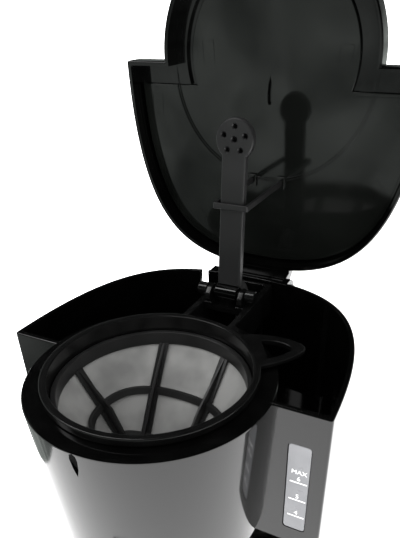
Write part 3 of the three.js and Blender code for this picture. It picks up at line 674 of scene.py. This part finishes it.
def band(r_in, r_out, z0, z1, low=0.0, y=0.0):
    return turned(filleted([(r_in, z0, low), (r_out, z0, low), (r_out, z1, 0), (r_in, z1, 0)]), 144, 0, y)


def build_lid():
    knuckle = [(110.2, 1.4), (113.4, 1.4), (114.8, -4), (HINGE_Y, HINGE_Z - 3), (122.4, -4.6), (121, 2),
               (116, 8), (110.2, 10)]
    outside = join(slab(housing_outline(), 0.7, 15, 0.9, 3, 5), disc(58.5, 0.7, 15, 0.9, 3),
                   axle_x(4, -21.7, 19.7, HINGE_Y, HINGE_Z, 32, 0.4), side_slab(knuckle, -21.6, 19.6, 0.4))
    cavity = join(slab(housing_outline(2.4), -1, 12.7, 0, 0.5), disc(56.1, -1, 12.7, 0, 0.5))
    shoulders = cut(join(slab(housing_outline(2.2, 4.2), 10.9, 12.9, 0.3, 0), disc(56.3, 10.5, 12.9, 0.3)),
                    post(49.6, 9, 14, 0, 0, 144), block(-90, 90, 14, 130, 9, 14, 0))
    line = cut(band(55.9, 56.5, 10.5, 12, 0.2, 5.6), block(-90, 90, 13.9, 90, 0, 20, 0),
               block(-90, 90, -90, -1, 0, 20, 0))
    return join(cut(outside, cavity, axle_x(PIN_BORE, -27, 25, HINGE_Y, HINGE_Z, 24)), shoulders, line)


piece("lid_cover", moved(build_lid(), LID_OPEN), "lid", "gloss_shell", "lid_shell")

BAIL_Y, BAIL_HALF, BAIL_THICK, BAIL_TALL = 62.8, 9.65, 1.6, 3.0


def build_liner():
    panel = join(slab(housing_outline(3.4, LINER_FRONT), LINER_FACE, 12, 0.5, 0.2),
                 disc(46, LINER_FACE, 12, 0.5, 0.2))
    rim_line = cut(slab(housing_outline(5.0, LINER_FRONT + 1.8), 10.15, 11, 0.12, 0),
                   slab(housing_outline(5.9, LINER_FRONT + 2.7), 9.9, 11.5, 0, 0),
                   post(47.5, 9, 13, 0, 0, 96))
    ridges = [cut(band(r, r + 0.5, LINER_FACE - 0.7, 11, 0.2, 5.6),
                  block(-90, 90, -90, LINER_FRONT + 0.2, 0, 20, 0)) for r in (55.2, 56.5)]
    marks = []
    for x, y, turn in ((-36, -2, -4), (39, -1, 4), (-70, 25, 2), (70, 25, -2), (-46, 90, 48), (63, 62, -38)):
        frame_mark = cut(slab([(-3.4, -5.4), (3.4, -5.4), (3.4, 5.4), (-3.4, 5.4)], 10.22, 11, 0.1, 0),
                         slab([(-3.1, -5.1), (3.1, -5.1), (3.1, 5.1), (-3.1, 5.1)], 9, 10.36, 0, 0))
        at = Matrix.Translation((x, y, 0)) @ Matrix.Rotation(math.radians(turn), 4, "Z")
        marks.append(moved(frame_mark, at))
    slot_x = [side * (BAIL_HALF - BAIL_THICK / 2) for side in (-1, 1)]
    sockets = [block(x - 2.4, x + 2.4, BAIL_Y - 3.5, BAIL_Y + 3.5, 8.5, 11, 0.4) for x in slot_x]
    holes = [block(x - 1.1, x + 1.1, BAIL_Y - 1.8, BAIL_Y + 1.8, 0, 13, 0) for x in slot_x]
    drop = slab([(0, 8.6), (1.0, 12), (1.4, 17), (1.2, 21), (0.6, 22.4), (-0.6, 22.4), (-1.2, 21),
                 (-1.4, 17), (-1.0, 12)], 9, 13, 0, 0)
    return cut(join(panel, rim_line, *ridges, *marks, *sockets), drop, *holes)


piece("lid_lining", moved(build_liner(), LID_OPEN), "lid", "liner_plastic", "lid_liner")


def build_bail():
    h, t = BAIL_HALF, BAIL_THICK
    outline = filleted([(-h, -40.8), (h, -40.8), (h, 10.4), (h - t, 10.4), (h - t, -39.2), (t - h, -39.2),
                        (t - h, 10.4), (-h, 10.4)], 0.8)
    return front_slab(outline, BAIL_Y - BAIL_TALL / 2, BAIL_Y + BAIL_TALL / 2, 0.35)


piece("bail", moved(build_bail(), LID_OPEN), "lid", "charcoal_plastic", "lid_bail")
piece("hinge_pin", moved(axle_x(1.5, -26.8, 25.6, HINGE_Y, HINGE_Z, 32, 0.35), LID_OPEN), "lid",
      "steel_parts", "lid_hinge_pin")

# ---------------------------------------------------------------- water arm, drawn closed and turned open

ARM_OPEN = swing(PIVOT_Y, PIVOT_Z, -96)
SHOWER_Y = 1.3


def arm_plan(grow, rear):
    """Bar with a round head, as an outline."""
    half, r = 6.5 + grow, 10 + grow
    neck = math.degrees(math.asin(half / r))
    head = arc(0, SHOWER_Y, r, 90 + neck, 450 - neck, 60)
    return [(half, rear), (-half, rear)] + head


def sunk_hole(x, y, r, face):
    """A tool for a drip hole with a small chamfer."""
    profile = [(0, face - 1), (r + 1.5, face - 1), (r, face + 0.5), (r, face + 4), (0, face + 4)]
    return turned(profile, 32, x, y)


def build_arm():
    body = slab(arm_plan(0, PIVOT_Y + 1), 4.3, 8.2, 1.0, 0.2, 4)
    drips = [sunk_hole(6 * math.cos(math.radians(a)), SHOWER_Y + 6 * math.sin(math.radians(a)), 1.15, 4.3)
             for a in (-90, -18, 54, 126, 198)]
    return cut(body, axle_x(4.4, -9, 9, PIVOT_Y, PIVOT_Z, 48), sunk_hole(0, SHOWER_Y, 1.3, 4.3), *drips)


piece("arm", moved(build_arm(), ARM_OPEN), "arm", "charcoal_plastic", "arm_body")
piece("arm_back", moved(slab(arm_plan(-0.4, PIVOT_Y + 2), 8.25, 9.4, 0.1, 0.4), ARM_OPEN), "arm",
      "charcoal_plastic", "arm_cover")
ON_PIVOT = Matrix.Translation((0, PIVOT_Y, PIVOT_Z)) @ Matrix.Rotation(math.pi / 2, 4, "Y")
piece("arm_root", moved(turned(filleted([(2.2, -6.5), (3.9, -6.5), (3.9, 6.5), (2.2, 6.5)], 0.5), 64),
                        ARM_OPEN @ ON_PIVOT), "arm", "gloss_shell")


def build_shaft():
    ends = [axle_x(3.6, x, x + 5.5, PIVOT_Y, PIVOT_Z, 32, 0.5) for x in (11.3, -16.8)]
    return join(axle_x(2, -14, 14, PIVOT_Y, PIVOT_Z, 32), *ends)


piece("arm_shaft", moved(build_shaft(), ARM_OPEN), "arm", "satin_black", "arm_pivot_shaft")

# ---------------------------------------------------------------- bridge over the tank


def build_bridge():
    cheek = filleted([(73, -3), (87, -3), (85.5, 3.6, 1.5), (82.5, 6.6, 1.5), (77.5, 6.6, 1.5),
                      (74.5, 3.6, 1.5)], 0)
    frame_bar = join(block(-15.5, 15.5, 49.7, 108.8, -6, -1.5, 0.5),
                     block(-15.5, -12.2, 58, 108.8, -20, -5, 0.3),
                     block(12.2, 15.5, 58, 108.8, -20, -5, 0.3),
                     side_slab(cheek, 8, 11), side_slab(cheek, -11, -8),
                     block(-5, -2, 49.75, 50.9, -2.5, -0.4, 0.2), block(9, 12, 49.75, 50.9, -2.5, -0.4, 0.2))
    front = flared(filleted([(-12, 50.9), (12, 50.9), (12, 74.5), (-12, 74.5)], 1), -30, -1.5, 0.5)
    rear = flared(filleted([(-12, 86.5), (12, 86.5), (12, 106.5), (-12, 106.5)], 2), -30, -1.5, 0.5)
    return cut(frame_bar, front, rear, block(-7.2, 7.2, 74, 87, -3.4, 3, 0.3),
               axle_x(2.3, -17, 17, PIVOT_Y, PIVOT_Z, 32))


piece("bridge", build_bridge(), "housing", "satin_black", "bridge_frame")


def bent_tube(points, outer, bore, sides=32, steps=8):
    """A tube along a smooth path through points that share one x."""
    path = []
    for i in range(len(points) - 1):
        p = [Vector(points[max(0, min(len(points) - 1, i + k))]) for k in (-1, 0, 1, 2)]
        for k in range(steps):
            t = k / steps
            path.append(0.5 * (2 * p[1] + (p[2] - p[0]) * t
                               + (2 * p[0] - 5 * p[1] + 4 * p[2] - p[3]) * t * t
                               + (3 * p[1] - p[0] - 3 * p[2] + p[3]) * t ** 3))
    path.append(Vector(points[-1]))
    skins = []
    for radius in (outer, bore):
        rings = []
        for i, at in enumerate(path):
            along = (path[min(i + 1, len(path) - 1)] - path[max(i - 1, 0)]).normalized()
            normal = along.cross(Vector((1, 0, 0)))
            rings.append([tuple(at + Vector((1, 0, 0)) * radius * math.cos(2 * math.pi * k / sides)
                                + normal * radius * math.sin(2 * math.pi * k / sides)) for k in range(sides)])
        skins.append(rings)
    count = len(path) * sides
    points_all = [q for rings in skins for ring in rings for q in ring]
    faces = []
    for skin in (0, 1):
        for i in range(len(path) - 1):
            for k in range(sides):
                a = skin * count + i * sides
                j = (k + 1) % sides
                faces.append((a + k, a + j, a + sides + j, a + sides + k))
    for i in (0, len(path) - 1):
        for k in range(sides):
            j = (k + 1) % sides
            faces.append((i * sides + k, i * sides + j, count + i * sides + j, count + i * sides + k))
    return solid(points_all, faces)


ELBOW_PATH = [(0, 98, -16), (0, 98, -8), (0, 97.4, -3), (0, 94, 0.6), (0, 89, 1.5)]
piece("elbow", bent_tube(ELBOW_PATH, 4.6, 3.4), "housing", "black_rubber", "riser_elbow")

# ---------------------------------------------------------------- spring of the drip stop

SPRING_TOP, SPRING_LENGTH, SPRING_TURNS, SPRING_RADIUS, SPRING_WIRE = -65, 12, 4, 4.2, 0.35
SPRING_STEPS = 32                                         # in a turn


def build_spring():
    """Wire wound between the bucket and the collar of the plunger."""
    rings = []
    count = SPRING_TURNS * SPRING_STEPS
    for i in range(count + 1):
        angle = i / SPRING_STEPS * 2 * math.pi
        outward = Vector((math.cos(angle), math.sin(angle), 0))
        at = outward * SPRING_RADIUS + Vector((0, 0, SPRING_TOP - SPRING_LENGTH * i / count))
        rings.append([tuple(at + outward * SPRING_WIRE * math.cos(math.pi * k / 5)
                            + Vector((0, 0, SPRING_WIRE * math.sin(math.pi * k / 5)))) for k in range(10)])
    return loft(rings)


spring = piece("spring", build_spring(), "bucket", "steel_parts", "valve_spring")
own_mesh(spring)

# ---------------------------------------------------------------- level window with its marks


def build_pane():
    opening = [(65.3, -70.7), (75.7, -70.7), (75.7, -18.3), (65.3, -18.3)]
    pane = front_slab(filleted(opening, 1.7), 2.2, 5.6, 0.3)
    flange = front_slab(filleted([(63, -73), (78, -73), (78, -16), (63, -16)], 2), 4.9, 6.4, 0.2)
    return join(pane, flange)


piece("level_pane", build_pane(), "housing", "level_pane", "level_window")


def number(text, size, x, z):
    """Raised figures on the front of the level window."""
    curve = bpy.data.curves.new("figure", "FONT")
    curve.body, curve.size, curve.align_x = text, size, "CENTER"
    curve.extrude, curve.resolution_u = 0.06, 3
    text_object = bpy.data.objects.new("figure", curve)
    bpy.context.scene.collection.objects.link(text_object)
    graph = bpy.context.evaluated_depsgraph_get()
    mesh = bpy.data.meshes.new_from_object(text_object.evaluated_get(graph))
    bpy.data.objects.remove(text_object)
    made = bpy.data.objects.new("figure", mesh)
    bpy.context.scene.collection.objects.link(made)
    return moved(made, Matrix.Translation((x, 2.14, z)) @ Matrix.Rotation(math.pi / 2, 4, "X"))


for label, z in (("6", -40), ("5", -51), ("4", -61.7)):
    piece(f"level_line_{label}", block(67, 75, 2.08, 2.3, z - 0.3, z + 0.3, 0), "housing", "level_mark")
    piece(f"level_figure_{label}", number(label, 3.6, 71, z + 1.2), "housing", "level_mark")
piece("level_figure_max", number("MAX", 3.4, 71, -34.9), "housing", "level_mark")
